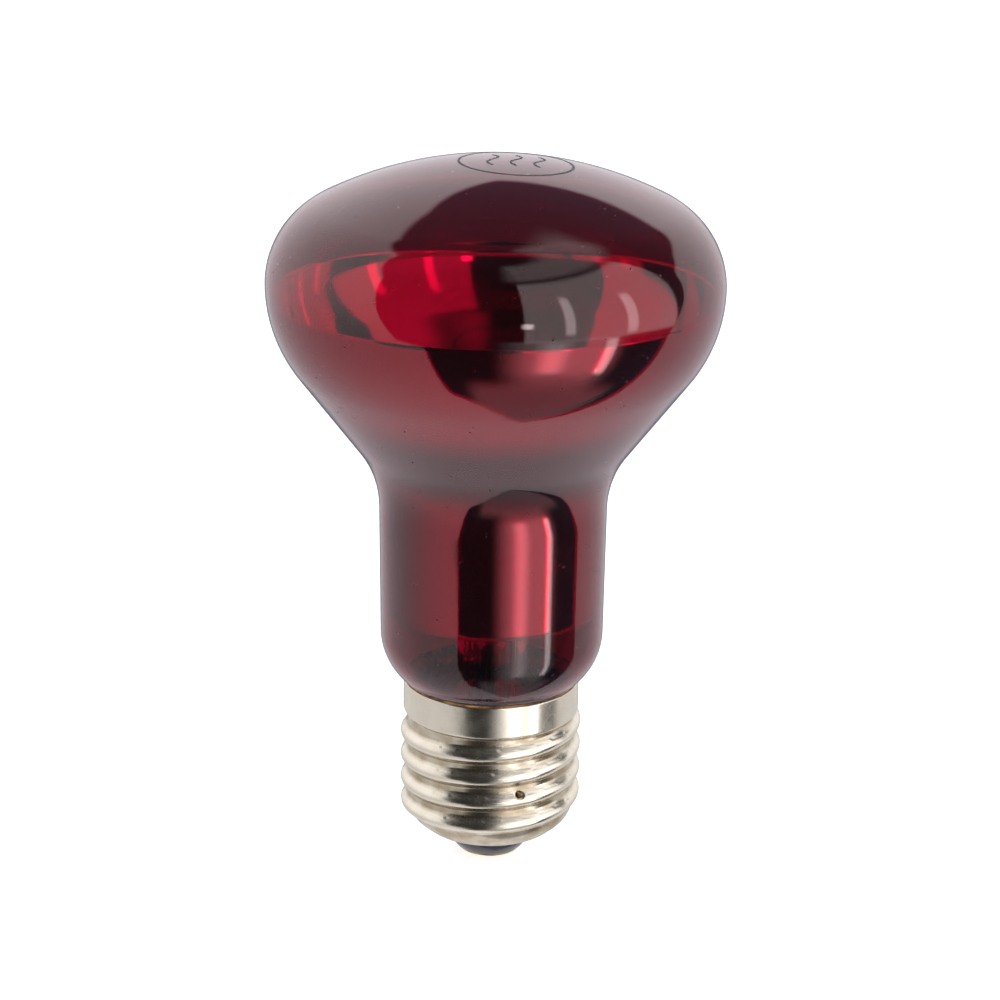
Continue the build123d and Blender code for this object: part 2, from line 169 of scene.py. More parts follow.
def tube(path: np.ndarray, radius: float, sides: int) -> tuple[np.ndarray, list[tuple[int, ...]]]:
    """Round wire along a path, with closed ends.

    Args:
        path: points of the centreline.
        radius: the wire's radius.
        sides: corners of its section.

    Returns:
        The tube's points and faces.
    """
    tangent = np.gradient(path, axis=0)
    tangent /= np.linalg.norm(tangent, axis=1)[:, None]
    across = np.cross(tangent, (0.0, 0.0, 1.0))
    flat = np.linalg.norm(across, axis=1) < 1e-6
    across[flat] = (1.0, 0.0, 0.0)
    across /= np.linalg.norm(across, axis=1)[:, None]
    upward = np.cross(across, tangent)
    turn = np.linspace(0, 2 * math.pi, sides, endpoint=False)
    ring = across[:, None] * np.cos(turn)[:, None] + upward[:, None] * np.sin(turn)[:, None]
    points = (path[:, None] + radius * ring).reshape(-1, 3)
    faces = grid_faces(len(path), sides, wrap_rows=False)
    last = (len(path) - 1) * sides
    faces.append(tuple(range(sides)))
    faces.append(tuple(range(last + sides - 1, last - 1, -1)))
    return points, faces


class Pen:
    """Draws a meridian as straight runs and tangent arcs, in radius and height."""

    def __init__(self, radius: float, height: float, heading: float) -> None:
        """Start at a point, heading at an angle in degrees from outward."""
        self.points: list[tuple[float, float]] = [(radius, height)]
        self.heading = math.radians(heading)

    @property
    def spot(self) -> tuple[float, float]:
        """Where the pen is."""
        return self.points[-1]

    def run(self, length: float, steps: int) -> "Pen":
        """Draw a straight run in this many steps."""
        radius, height = self.spot
        for step in range(1, steps + 1):
            part = length * step / steps
            self.points.append(
                (radius + part * math.cos(self.heading), height + part * math.sin(self.heading))
            )
        return self

    def bend(self, radius: float, degrees: float, steps: int) -> "Pen":
        """Draw an arc that turns left by the angle, or right if it is negative."""
        side = math.copysign(1, degrees)
        centre_r = self.spot[0] - side * radius * math.sin(self.heading)
        centre_z = self.spot[1] + side * radius * math.cos(self.heading)
        start = self.heading
        for step in range(1, steps + 1):
            angle = start + math.radians(degrees) * step / steps
            self.points.append(
                (
                    centre_r + side * radius * math.sin(angle),
                    centre_z - side * radius * math.cos(angle),
                )
            )
        self.heading = start + math.radians(degrees)
        return self


def lathe(name: str, meridian: list[tuple[float, float]], segments: int) -> Piece:
    """Turn a meridian about the lamp's axis into a closed body.

    A meridian that starts and ends on the axis is closed by a point at each end. Any other
    one is a loop and closes on itself.

    Args:
        name: the piece's name.
        meridian: radius and height of each ring, in order.
        segments: points in each ring.

    Returns:
        The new object.
    """
    on_axis = meridian[0][0] < 1e-6
    rings = np.array(meridian[1:-1] if on_axis else meridian)
    turn = np.linspace(0, 2 * math.pi, segments, endpoint=False)
    points = np.stack(
        [
            np.outer(rings[:, 0], np.cos(turn)),
            np.outer(rings[:, 0], np.sin(turn)),
            np.repeat(rings[:, 1:], segments, axis=1),
        ],
        axis=-1,
    ).reshape(-1, 3)
    faces = grid_faces(len(rings), segments, wrap_rows=not on_axis)
    if on_axis:
        top, last = len(points), len(points) + 1
        points = np.vstack([points, (0, 0, meridian[0][1]), (0, 0, meridian[-1][1])])
        foot = (len(rings) - 1) * segments
        for column in range(segments):
            beside = (column + 1) % segments
            faces.append((top, column, beside))
            faces.append((last, foot + beside, foot + column))
    return put_mesh(name, points, faces)


# ------------------------------------------------------------------ finishes


@dataclass(frozen=True)
class Finish:
    """A real material with the way its surface was made."""

    name: str
    slot: str

    def surface(self, tree: Tree, place: Socket) -> dict:
        """Build the patterns and return the shader's inputs.

        Args:
            tree: the material's node tree.
            place: socket that holds each point's place on the piece, in metres.

        Returns:
            Socket names of the shader, and what each one gets.
        """
        raise NotImplementedError

    def volume(self, tree: Tree) -> Socket | None:
        """Build what fills the body, or nothing."""
        return None

    def material(self) -> bpy.types.Material:
        """The finish as a Blender material, made once."""
        found = bpy.data.materials.get(self.name)
        if found:
            return found
        made = bpy.data.materials.new(self.name)
        made.use_nodes = True
        tree = made.node_tree
        tree.nodes.clear()
        place = node(tree, "TexCoord").outputs["Object"]
        shader = node(tree, "BsdfPrincipled", inputs=self.surface(tree, place))
        output = node(tree, "OutputMaterial", inputs={"Surface": shader.outputs["BSDF"]})
        filling = self.volume(tree)
        if filling:
            tree.links.new(filling, output.inputs["Volume"])
        return made

    def dress(self, piece: Piece) -> None:
        """Put the finish on a piece in place of what it had."""
        piece.data.materials.clear()
        piece.data.materials.append(self.material())


@dataclass(frozen=True)
class BlownRubyGlass(Finish):
    """Ruby soda glass, blown in a mould: deep red, slightly wavy, with handling dust on its gloss.

    The eye gets a hard neutral gloss over a crimson depth, and faint duller specks.
    """

    density: float = 5000.0
    tint: tuple[float, float, float, float] = (0.845, 0.03, 0.49, 1.0)
    wave_mm: float = 14.0
    speck_mm: float = 0.55

    def surface(self, tree: Tree, place: Socket) -> dict:
        """Clear gloss with mould waviness and dust specks."""
        dust = node(
            tree,
            "TexVoronoi",
            {"feature": "F1"},
            {"Vector": place, "Scale": per(self.speck_mm * 6), "Randomness": 1.0},
        )
        speck = node(
            tree,
            "MapRange",
            {"interpolation_type": "SMOOTHSTEP"},
            {"Value": dust.outputs["Distance"], 1: 0.035, 2: 0.06, 3: 0.55, 4: 0.022},
        )
        wave = node(tree, "TexNoise", inputs={"Vector": place, "Scale": per(self.wave_mm), "Detail": 1.0})
        ripple = node(
            tree,
            "Bump",
            inputs={"Strength": 0.05, "Distance": 0.3 * MM, "Height": wave.outputs["Fac"]},
        )
        return {
            "Base Color": (1.0, 1.0, 1.0, 1.0),
            "Transmission Weight": 1.0,
            "IOR": 1.52,
            "Roughness": speck.outputs["Result"],
            "Sheen Weight": 0.16,
            "Sheen Roughness": 0.45,
            "Sheen Tint": linear("c6bdee"),
            "Normal": ripple.outputs["Normal"],
        }

    def volume(self, tree: Tree) -> Socket:
        """Ruby colour, from the depth of glass that light crosses."""
        return node(
            tree, "VolumeAbsorption", inputs={"Color": self.tint, "Density": self.density}
        ).outputs["Volume"]


@dataclass(frozen=True)
class FlameWorkedGlass(Finish):
    """Clear lead glass, drawn as tube and pressed hot: water-clear with soft draw lines."""

    line_mm: float = 0.9

    def surface(self, tree: Tree, place: Socket) -> dict:
        """Clear gloss with faint lines along the draw."""
        drawn = node(tree, "Mapping", inputs={"Vector": place, "Scale": (1.0, 1.0, 0.08)})
        lines = node(
            tree, "TexNoise", inputs={"Vector": drawn.outputs[0], "Scale": per(self.line_mm), "Detail": 2.0}
        )
        ripple = node(
            tree,
            "Bump",
            inputs={"Strength": 0.08, "Distance": 0.05 * MM, "Height": lines.outputs["Fac"]},
        )
        return {
            "Base Color": linear("f4f7f4"),
            "Transmission Weight": 1.0,
            "IOR": 1.56,
            "Roughness": 0.03,
            "Normal": ripple.outputs["Normal"],
        }


@dataclass(frozen=True)
class EvaporatedAluminium(Finish):
    """Aluminium evaporated on to glass: a bright mirror, a little cloudy, with painted shade that
    darkens it round the throat and down one side of the neck."""

    cloud_mm: float = 9.0
    # Painted shade: heights of its band round the throat, side and top of its patch down the neck, and its
    # strongest amount.
    painted_shade_band: tuple[float, float, float, float] = (56.0, 62.0, 66.0, 72.0)
    painted_shade_side: tuple[float, float] = (-15.0, -5.0)
    neck_top_z: float = 60.0
    neck_fade: float = 4.0
    darkest_painted_shade: float = 0.9

    def surface(self, tree: Tree, place: Socket) -> dict:
        """Mirror metal with clouds of duller film, and painted shade at the throat and down one side."""
        cloud = node(tree, "TexNoise", inputs={"Vector": place, "Scale": per(self.cloud_mm), "Detail": 4.0})
        dull = node(
            tree, "MapRange", inputs={"Value": cloud.outputs["Fac"], 1: 0.35, 2: 0.7, 3: 0.06, 4: 0.13}
        )
        tone = node(
            tree,
            "Mix",
            {"data_type": "RGBA"},
            {0: cloud.outputs["Fac"], 6: linear("f3f3f1"), 7: linear("e4e3e0")},
        )
        spot = node(tree, "SeparateXYZ", inputs={0: place}).outputs

        # Painted shade: the mirror colour is darkened towards 2f2e30 in a band round the throat and down one
        # side of the neck.
        foot, full, fading, top = self.painted_shade_band
        near, far = self.painted_shade_side
        neck_top, fade = self.neck_top_z, self.neck_fade
        patches = []
        for steps in (
            ((2, foot, full), (2, top, fading)),
            ((0, far, near), (2, neck_top + fade, neck_top - fade)),
        ):
            amount: Socket | float = self.darkest_painted_shade
            for axis, low, high in steps:
                step = node(
                    tree,
                    "MapRange",
                    {"interpolation_type": "SMOOTHSTEP"},
                    {"Value": spot[axis], 1: low * MM, 2: high * MM},
                ).outputs["Result"]
                amount = node(tree, "Math", {"operation": "MULTIPLY"}, {0: amount, 1: step}).outputs[0]
            patches.append(amount)
        painted_shade = node(tree, "Math", {"operation": "MAXIMUM"}, dict(enumerate(patches))).outputs[0]
        # Mix towards 2f2e30, the painted shade colour, by the painted shade mask.
        shade = node(
            tree, "Mix", {"data_type": "RGBA"}, {0: painted_shade, 6: tone.outputs[2], 7: linear("2f2e30")}
        )
        return {"Base Color": shade.outputs[2], "Metallic": 1.0, "Roughness": dull.outputs["Result"]}


@dataclass(frozen=True)
class RolledNickelPlate(Finish):
    """Nickel over rolled brass sheet: warm white, turned brown in the grooves by painted shade and
    some dirt, with fine lines round the cap from the rolling tool."""

    groove_r: float = 12.2
    crest_r: float = 13.1
    line_mm: float = 0.22
    stain_mm: float = 2.6

    def surface(self, tree: Tree, place: Socket) -> dict:
        """Plated metal with rolled lines, and grooves turned brown by painted shade and some dirt."""
        flat = node(tree, "VectorMath", {"operation": "MULTIPLY"}, {0: place, 1: (1.0, 1.0, 0.0)})
        reach = node(tree, "VectorMath", {"operation": "LENGTH"}, {0: flat.outputs[0]})
        # Painted shade with some dirt: the plate turns brown as the radius nears the groove, patchy by the
        # stain noise.
        depth = node(
            tree,
            "MapRange",
            inputs={
                "Value": reach.outputs["Value"],
                1: (self.groove_r - 0.05) * MM,
                2: (self.groove_r + 0.35) * MM,
                3: 1.0,
                4: 0.0,
            },
        )
        stain = node(
            tree, "TexNoise", inputs={"Vector": place, "Scale": per(self.stain_mm), "Detail": 5.0}
        )
        patchy = node(
            tree, "MapRange", inputs={"Value": stain.outputs["Fac"], 1: 0.3, 2: 0.65, 3: 0.35, 4: 1.0}
        )
        groove_shade_and_dirt = node(
            tree,
            "Math",
            {"operation": "MULTIPLY"},
            {0: depth.outputs["Result"], 1: patchy.outputs["Result"]},
        )
        metal = node(
            tree,
            "Mix",
            {"data_type": "RGBA"},
            {0: stain.outputs["Fac"], 6: linear("e4dccf"), 7: linear("d2c8ba")},
        )
        # a39279 is the painted groove shade mixed with dirt.
        colour = node(
            tree,
            "Mix",
            {"data_type": "RGBA"},
            {0: groove_shade_and_dirt.outputs[0], 6: metal.outputs[2], 7: linear("a39279")},
        )
        rolled = node(tree, "Mapping", inputs={"Vector": place, "Scale": (0.06, 0.06, 1.0)})
        lines = node(
            tree, "TexNoise", inputs={"Vector": rolled.outputs[0], "Scale": per(self.line_mm), "Detail": 3.0}
        )
        rough = node(
            tree, "MapRange", inputs={"Value": stain.outputs["Fac"], 1: 0.3, 2: 0.7, 3: 0.2, 4: 0.31}
        )
        relief = node(
            tree,
            "Bump",
            inputs={"Strength": 0.16, "Distance": 0.02 * MM, "Height": lines.outputs["Fac"]},
        )
        return {
            "Base Color": colour.outputs[2],
            "Metallic": 1.0,
            "Roughness": rough.outputs["Result"],
            "Normal": relief.outputs["Normal"],
        }


class WireMetal(Enum):
    """Wires inside the lamp: bright colour, oxidised colour and typical roughness."""

    TUNGSTEN = ("9b9893", "6f6a66", 0.38)
    MOLYBDENUM = ("a9a8a6", "87847f", 0.30)
    NICKEL = ("c9c2b4", "a39a8a", 0.27)
    DUMET = ("b0573a", "7c2f22", 0.35)
    COPPER = ("d99a78", "9c5a3c", 0.30)


@dataclass(frozen=True)
class DrawnWire(Finish):
    """Wire drawn through a die: fine lines along it and a patchy oxide skin."""

    metal: WireMetal = WireMetal.NICKEL
    patch_mm: float = 0.8

    def surface(self, tree: Tree, place: Socket) -> dict:
        """Drawn metal with a patchy skin."""
        bright, skin, rough = self.metal.value
        patch = node(tree, "TexNoise", inputs={"Vector": place, "Scale": per(self.patch_mm), "Detail": 4.0})
        colour = node(
            tree,
            "Mix",
            {"data_type": "RGBA"},
            {0: patch.outputs["Fac"], 6: linear(bright), 7: linear(skin)},
        )
        dull = node(
            tree,
            "MapRange",
            inputs={"Value": patch.outputs["Fac"], 1: 0.3, 2: 0.7, 3: rough - 0.06, 4: rough + 0.1},
        )
        return {"Base Color": colour.outputs[2], "Metallic": 1.0, "Roughness": dull.outputs["Result"]}


@dataclass(frozen=True)
class PressedVitrite(Finish):
    """Black-violet slag glass pressed hot into the cap: glossy, dimpled, with a few gas pits."""

    dimple_mm: float = 1.3
    pit_mm: float = 0.9

    def surface(self, tree: Tree, place: Socket) -> dict:
        """Dark gloss with dimples and pits."""
        dimple = node(tree, "TexNoise", inputs={"Vector": place, "Scale": per(self.dimple_mm), "Detail": 2.0})
        gas = node(tree, "TexVoronoi", inputs={"Vector": place, "Scale": per(self.pit_mm)})
        pit = node(
            tree, "MapRange", inputs={"Value": gas.outputs["Distance"], 1: 0.05, 2: 0.16, 3: 0.0, 4: 1.0}
        )
        height = node(
            tree, "Math", {"operation": "ADD"}, {0: dimple.outputs["Fac"], 1: pit.outputs["Result"]}
        )
        relief = node(
            tree, "Bump", inputs={"Strength": 0.35, "Distance": 0.08 * MM, "Height": height.outputs[0]}
        )
        colour = node(
            tree,
            "Mix",
            {"data_type": "RGBA"},
            {0: dimple.outputs["Fac"], 6: linear("1b1820"), 7: linear("30303c")},
        )
        return {
            "Base Color": colour.outputs[2],
            "IOR": 1.58,
            "Roughness": 0.16,
            "Normal": relief.outputs["Normal"],
        }


@dataclass(frozen=True)
class StampedBrass(Finish):
    """Brass stamped from sheet and heated when the insulator was poured: yellow with brown bloom."""

    bloom_mm: float = 1.8

    def surface(self, tree: Tree, place: Socket) -> dict:
        """Yellow metal with a brown heat bloom."""
        bloom = node(tree, "TexNoise", inputs={"Vector": place, "Scale": per(self.bloom_mm), "Detail": 5.0})
        ramp = node(tree, "ValToRGB", inputs={"Fac": bloom.outputs["Fac"]})
        set_ramp(ramp, [(0.38, linear("d6b46c")), (0.62, linear("8d6a3c"))])
        dull = node(
            tree, "MapRange", inputs={"Value": bloom.outputs["Fac"], 1: 0.35, 2: 0.7, 3: 0.25, 4: 0.48}
        )
        return {
            "Base Color": ramp.outputs["Color"],
            "Metallic": 1.0,
            "Roughness": dull.outputs["Result"],
        }


@dataclass(frozen=True)
class SoftSolder(Finish):
    """Tin-lead solder, set from a drop: satin grey, with frosty grain and a scraped contact face."""

    grain_mm: float = 0.35
    scrape_mm: float = 0.18

    def surface(self, tree: Tree, place: Socket) -> dict:
        """Satin metal with frosty grain and scrapes."""
        grain = node(tree, "TexVoronoi", inputs={"Vector": place, "Scale": per(self.grain_mm)})
        stretched = node(tree, "Mapping", inputs={"Vector": place, "Scale": (1.0, 0.08, 1.0)})
        scrape = node(
            tree,
            "TexNoise",
            inputs={"Vector": stretched.outputs[0], "Scale": per(self.scrape_mm), "Detail": 2.0},
        )
        height = node(
            tree, "Math", {"operation": "ADD"}, {0: grain.outputs["Distance"], 1: scrape.outputs["Fac"]}
        )
        relief = node(
            tree, "Bump", inputs={"Strength": 0.3, "Distance": 0.03 * MM, "Height": height.outputs[0]}
        )
        colour = node(
            tree,
            "Mix",
            {"data_type": "RGBA"},
            {0: grain.outputs["Distance"], 6: linear("c3c2bf"), 7: linear("8f8e8b")},
        )
        return {
            "Base Color": colour.outputs[2],
            "Metallic": 1.0,
            "Roughness": 0.36,
            "Normal": relief.outputs["Normal"],
        }


@dataclass(frozen=True)
class BakedCement(Finish):
    """Resin cement with marble flour, baked brown: matt, grainy, amber where it is not thick."""

    grain_mm: float = 0.28
    tone_mm: float = 2.2

    def surface(self, tree: Tree, place: Socket) -> dict:
        """Matt grain with amber and dark brown patches."""
        tone = node(tree, "TexNoise", inputs={"Vector": place, "Scale": per(self.tone_mm), "Detail": 4.0})
        ramp = node(tree, "ValToRGB", inputs={"Fac": tone.outputs["Fac"]})
        set_ramp(ramp, [(0.36, linear("4a2c1a")), (0.5, linear("7d5229")), (0.66, linear("b98a4a"))])
        grain = node(tree, "TexNoise", inputs={"Vector": place, "Scale": per(self.grain_mm), "Detail": 3.0})
        relief = node(
            tree, "Bump", inputs={"Strength": 0.6, "Distance": 0.08 * MM, "Height": grain.outputs["Fac"]}
        )
        return {
            "Base Color": ramp.outputs["Color"],
            "Roughness": 0.78,
            "Normal": relief.outputs["Normal"],
        }


@dataclass(frozen=True)
class FiredStampInk(Finish):
    """Grey ink, stamped with a rubber die and fired: a slight matt film, broken where the die slipped."""

    gap_mm: float = 0.35

    def surface(self, tree: Tree, place: Socket) -> dict:
        """Matt ink, uneven along its line."""
        print_noise = node(
            tree, "TexNoise", inputs={"Vector": place, "Scale": per(self.gap_mm), "Detail": 3.0}
        )
        ramp = node(tree, "ValToRGB", inputs={"Fac": print_noise.outputs["Fac"]})
        set_ramp(ramp, [(0.35, linear("3b363d")), (0.65, linear("6d6872"))])
        return {"Base Color": ramp.outputs["Color"], "Roughness": 0.6}


RUBY = BlownRubyGlass("blown_ruby_glass", "ruby_glass")
MIRROR = EvaporatedAluminium("evaporated_aluminium", "mirror_film")
CLEAR = FlameWorkedGlass("flame_worked_lead_glass", "stem_glass")
PLATE = RolledNickelPlate("rolled_nickel_plate", "nickel_plate")
TUNGSTEN = DrawnWire("coiled_tungsten_wire", "tungsten", WireMetal.TUNGSTEN)
MOLYBDENUM = DrawnWire("drawn_molybdenum_wire", "molybdenum_wire", WireMetal.MOLYBDENUM)
NICKEL = DrawnWire("drawn_nickel_wire", "nickel_wire", WireMetal.NICKEL)
DUMET = DrawnWire("borated_dumet_wire", "dumet_wire", WireMetal.DUMET)
COPPER = DrawnWire("drawn_copper_wire", "copper_wire", WireMetal.COPPER)
VITRITE = PressedVitrite("pressed_vitrite", "vitrite")
BRASS = StampedBrass("stamped_brass", "contact_brass")
SOLDER = SoftSolder("tin_lead_solder", "solder")
CEMENT = BakedCement("baked_resin_cement", "cement")
INK = FiredStampInk("fired_stamp_ink", "ruby_glass")


# ------------------------------------------------------------------ sub-assemblies


@dataclass
class ReflectorBulb:
    """Ruby bulb blown in one piece, its mirror film, and the ring stamped on its crown."""

    overall_length: float = 103.2
    bulb_r: float = 32.0
    crown_r: float = 55.2
    shoulder_r: float = 12.7
    belly_r: float = 20.2
    cone_angle: float = 37.2
    throat_r: float = 15.2
    neck_r: float = 16.225
    neck_taper: float = 0.6
    heel_r: float = 9.2
    heel_angle: float = 54.4
    seal_neck_r: float = 11.0
    seal_z: float = 19.5
    cap_rim_z: float = 27.25
    wall: float = 0.8
    film: float = 0.1
    film_gap: float = 0.03
    film_edge_drop: float = 1.1
    film_foot_z: float = 38.5
    cement_gap: float = 0.03
    segments: int = 320

    def __post_init__(self) -> None:
        """Work out the lengths that the tangent arcs leave between them."""
        sweep = math.asin((self.bulb_r - self.shoulder_r) / (self.crown_r - self.shoulder_r))
        self.crown_sweep = math.degrees(sweep)
        self.ring_z = (
            self.overall_length - self.crown_r * (1 - math.cos(sweep)) - self.shoulder_r * math.cos(sweep)
        )
        cone, taper, heel = (
            math.radians(a) for a in (self.cone_angle, self.neck_taper, self.heel_angle)
        )
        run = (
            self.bulb_r
            - self.neck_r
            - self.belly_r * (1 - math.cos(cone))
            - self.throat_r * (math.cos(taper) - math.cos(cone))
        )
        self.flank = run / math.sin(cone)
        throat_z = (
            self.ring_z
            - self.belly_r * math.sin(cone)
            - self.flank * math.cos(cone)
            - self.throat_r * (math.sin(cone) - math.sin(taper))
        )
        fall = throat_z - self.cap_rim_z - self.heel_r * (math.sin(heel) - math.sin(taper))
        self.neck = fall / math.cos(taper)
        heel_end = (
            self.neck_r - self.neck * math.sin(taper) - self.heel_r * (math.cos(taper) - math.cos(heel))
        )
        self.tuck_r = (heel_end - self.seal_neck_r) / (1 - math.cos(heel))

    def meridian(self, inset: float) -> list[tuple[float, float]]:
        """Line of the glass, set in by a distance, from the crown to the seal."""
        pen = Pen(0.0, self.overall_length - inset, 0.0)
        pen.bend(self.crown_r - inset, -self.crown_sweep, 40)
        pen.bend(self.shoulder_r - inset, self.crown_sweep - 90, 34)
        pen.bend(self.belly_r - inset, -self.cone_angle, 24)
        pen.run(self.flank, 12)
        pen.bend(self.throat_r + inset, self.cone_angle - self.neck_taper, 24)
        pen.run(self.neck, 16)
        pen.bend(self.heel_r - inset, self.neck_taper - self.heel_angle, 18)
        pen.bend(self.tuck_r + inset, self.heel_angle, 12)
        pen.run(pen.spot[1] - self.seal_z, 8)
        return pen.points

    def build_glass(self) -> Piece:
        """Blow the bulb: outer and inner surfaces joined at the seal."""
        outer = [
            (r - self.cement_gap if z < self.cap_rim_z else r, z) for r, z in self.meridian(0.0)
        ]
        inner = self.meridian(self.wall)
        return lathe("ruby_bulb", outer + inner[::-1], self.segments)

    def build_film(self) -> Piece:
        """Lay the mirror film on the inside of the reflector and the upper neck."""
        top = self.ring_z - self.film_edge_drop

        def stretch(inset: float) -> list[tuple[float, float]]:
            """Part of the meridian that carries film, cut square at both edges."""
            line = self.meridian(inset)
            heights = [z for _, z in line]
            radii = [r for r, _ in line]
            kept = [(r, z) for r, z in line if self.film_foot_z < z < top and r > self.seal_neck_r]
            ends = [
                (float(np.interp(z, heights[::-1], radii[::-1])), z) for z in (top, self.film_foot_z)
            ]
            return [ends[0], *kept, ends[1]]

        glass_side = stretch(self.wall + self.film_gap)
        hollow_side = stretch(self.wall + self.film_gap + self.film)
        return lathe("mirror_film", glass_side + hollow_side[::-1], self.segments)

    def crown_point(self, x: float, y: float, lift: float) -> tuple[float, float, float]:
        """Point on the crown under x and y, lifted off the glass."""
        radius = self.crown_r + lift
        return (x, y, self.overall_length - self.crown_r + math.sqrt(radius**2 - x**2 - y**2))

    def build_stamp(self) -> Piece:
        """Stamp a plain ring with three short heat waves on the crown."""
        stamp = DomeStamp()
        points: list[tuple[float, float, float]] = []
        faces: list[tuple[int, ...]] = []
        for line, closed in stamp.strokes():
            start = len(points)
            path = np.array(line)
            if closed:
                along = np.roll(path, -1, axis=0) - np.roll(path, 1, axis=0)
            else:
                along = np.gradient(path, axis=0)
            along /= np.linalg.norm(along, axis=1)[:, None]
            side = np.stack([-along[:, 1], along[:, 0]], axis=1) * stamp.stroke / 2
            for (x, y), (sx, sy) in zip(path, side):
                for sign, lift in ((-1, 0.0), (1, 0.0), (1, stamp.ink), (-1, stamp.ink)):
                    points.append(
                        self.crown_point(x + sign * sx, y + sign * sy, stamp.clearance + lift)
                    )
            count = len(path)
            for index in range(count if closed else count - 1):
                here, there = start + 4 * index, start + 4 * ((index + 1) % count)
                for corner in range(4):
                    beside = (corner + 1) % 4
                    faces.append((here + corner, there + corner, there + beside, here + beside))
            if not closed:
                last = start + 4 * (count - 1)
                faces.append((start, start + 1, start + 2, start + 3))
                faces.append((last + 3, last + 2, last + 1, last))
        return put_mesh("crown_stamp", np.array(points), faces)

    def make(self) -> list[Piece]:
        """Build and dress the bulb's pieces."""
        glass, film, stamp = self.build_glass(), self.build_film(), self.build_stamp()
        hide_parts("glass_bulb")
        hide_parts("mirror_coating")
        RUBY.dress(glass)
        MIRROR.dress(film)
        INK.dress(stamp)
        return [glass, film, stamp]


@dataclass
class DomeStamp:
    """A ring and three heat waves, drawn as ink lines on the crown."""

    centre_x: float = 2.6
    centre_y: float = 0.5
    ring_r: float = 7.9
    stroke: float = 0.34
    ink: float = 0.02
    clearance: float = 0.01
    wave_length: float = 7.0
    wave_height: float = 0.75
    wave_spacing: float = 3.2

    def strokes(self) -> list[tuple[list[tuple[float, float]], bool]]:
        """Centrelines of the ink, each with whether it closes on itself."""
        turn = np.linspace(0, 2 * math.pi, 180, endpoint=False)
        ring = [
            (self.centre_x + self.ring_r * math.cos(a), self.centre_y + self.ring_r * math.sin(a))
            for a in turn
        ]
        found: list[tuple[list[tuple[float, float]], bool]] = [(ring, True)]
        for place in (-1, 0, 1):
            wave = []
            for part in np.linspace(-0.5, 0.5, 40):
                swing = self.wave_height * math.sin(2 * math.pi * part)
                wave.append(
                    (
                        self.centre_x + place * self.wave_spacing + swing,
                        self.centre_y + part * self.wave_length,
                    )
                )
            found.append((wave, False))
        return found


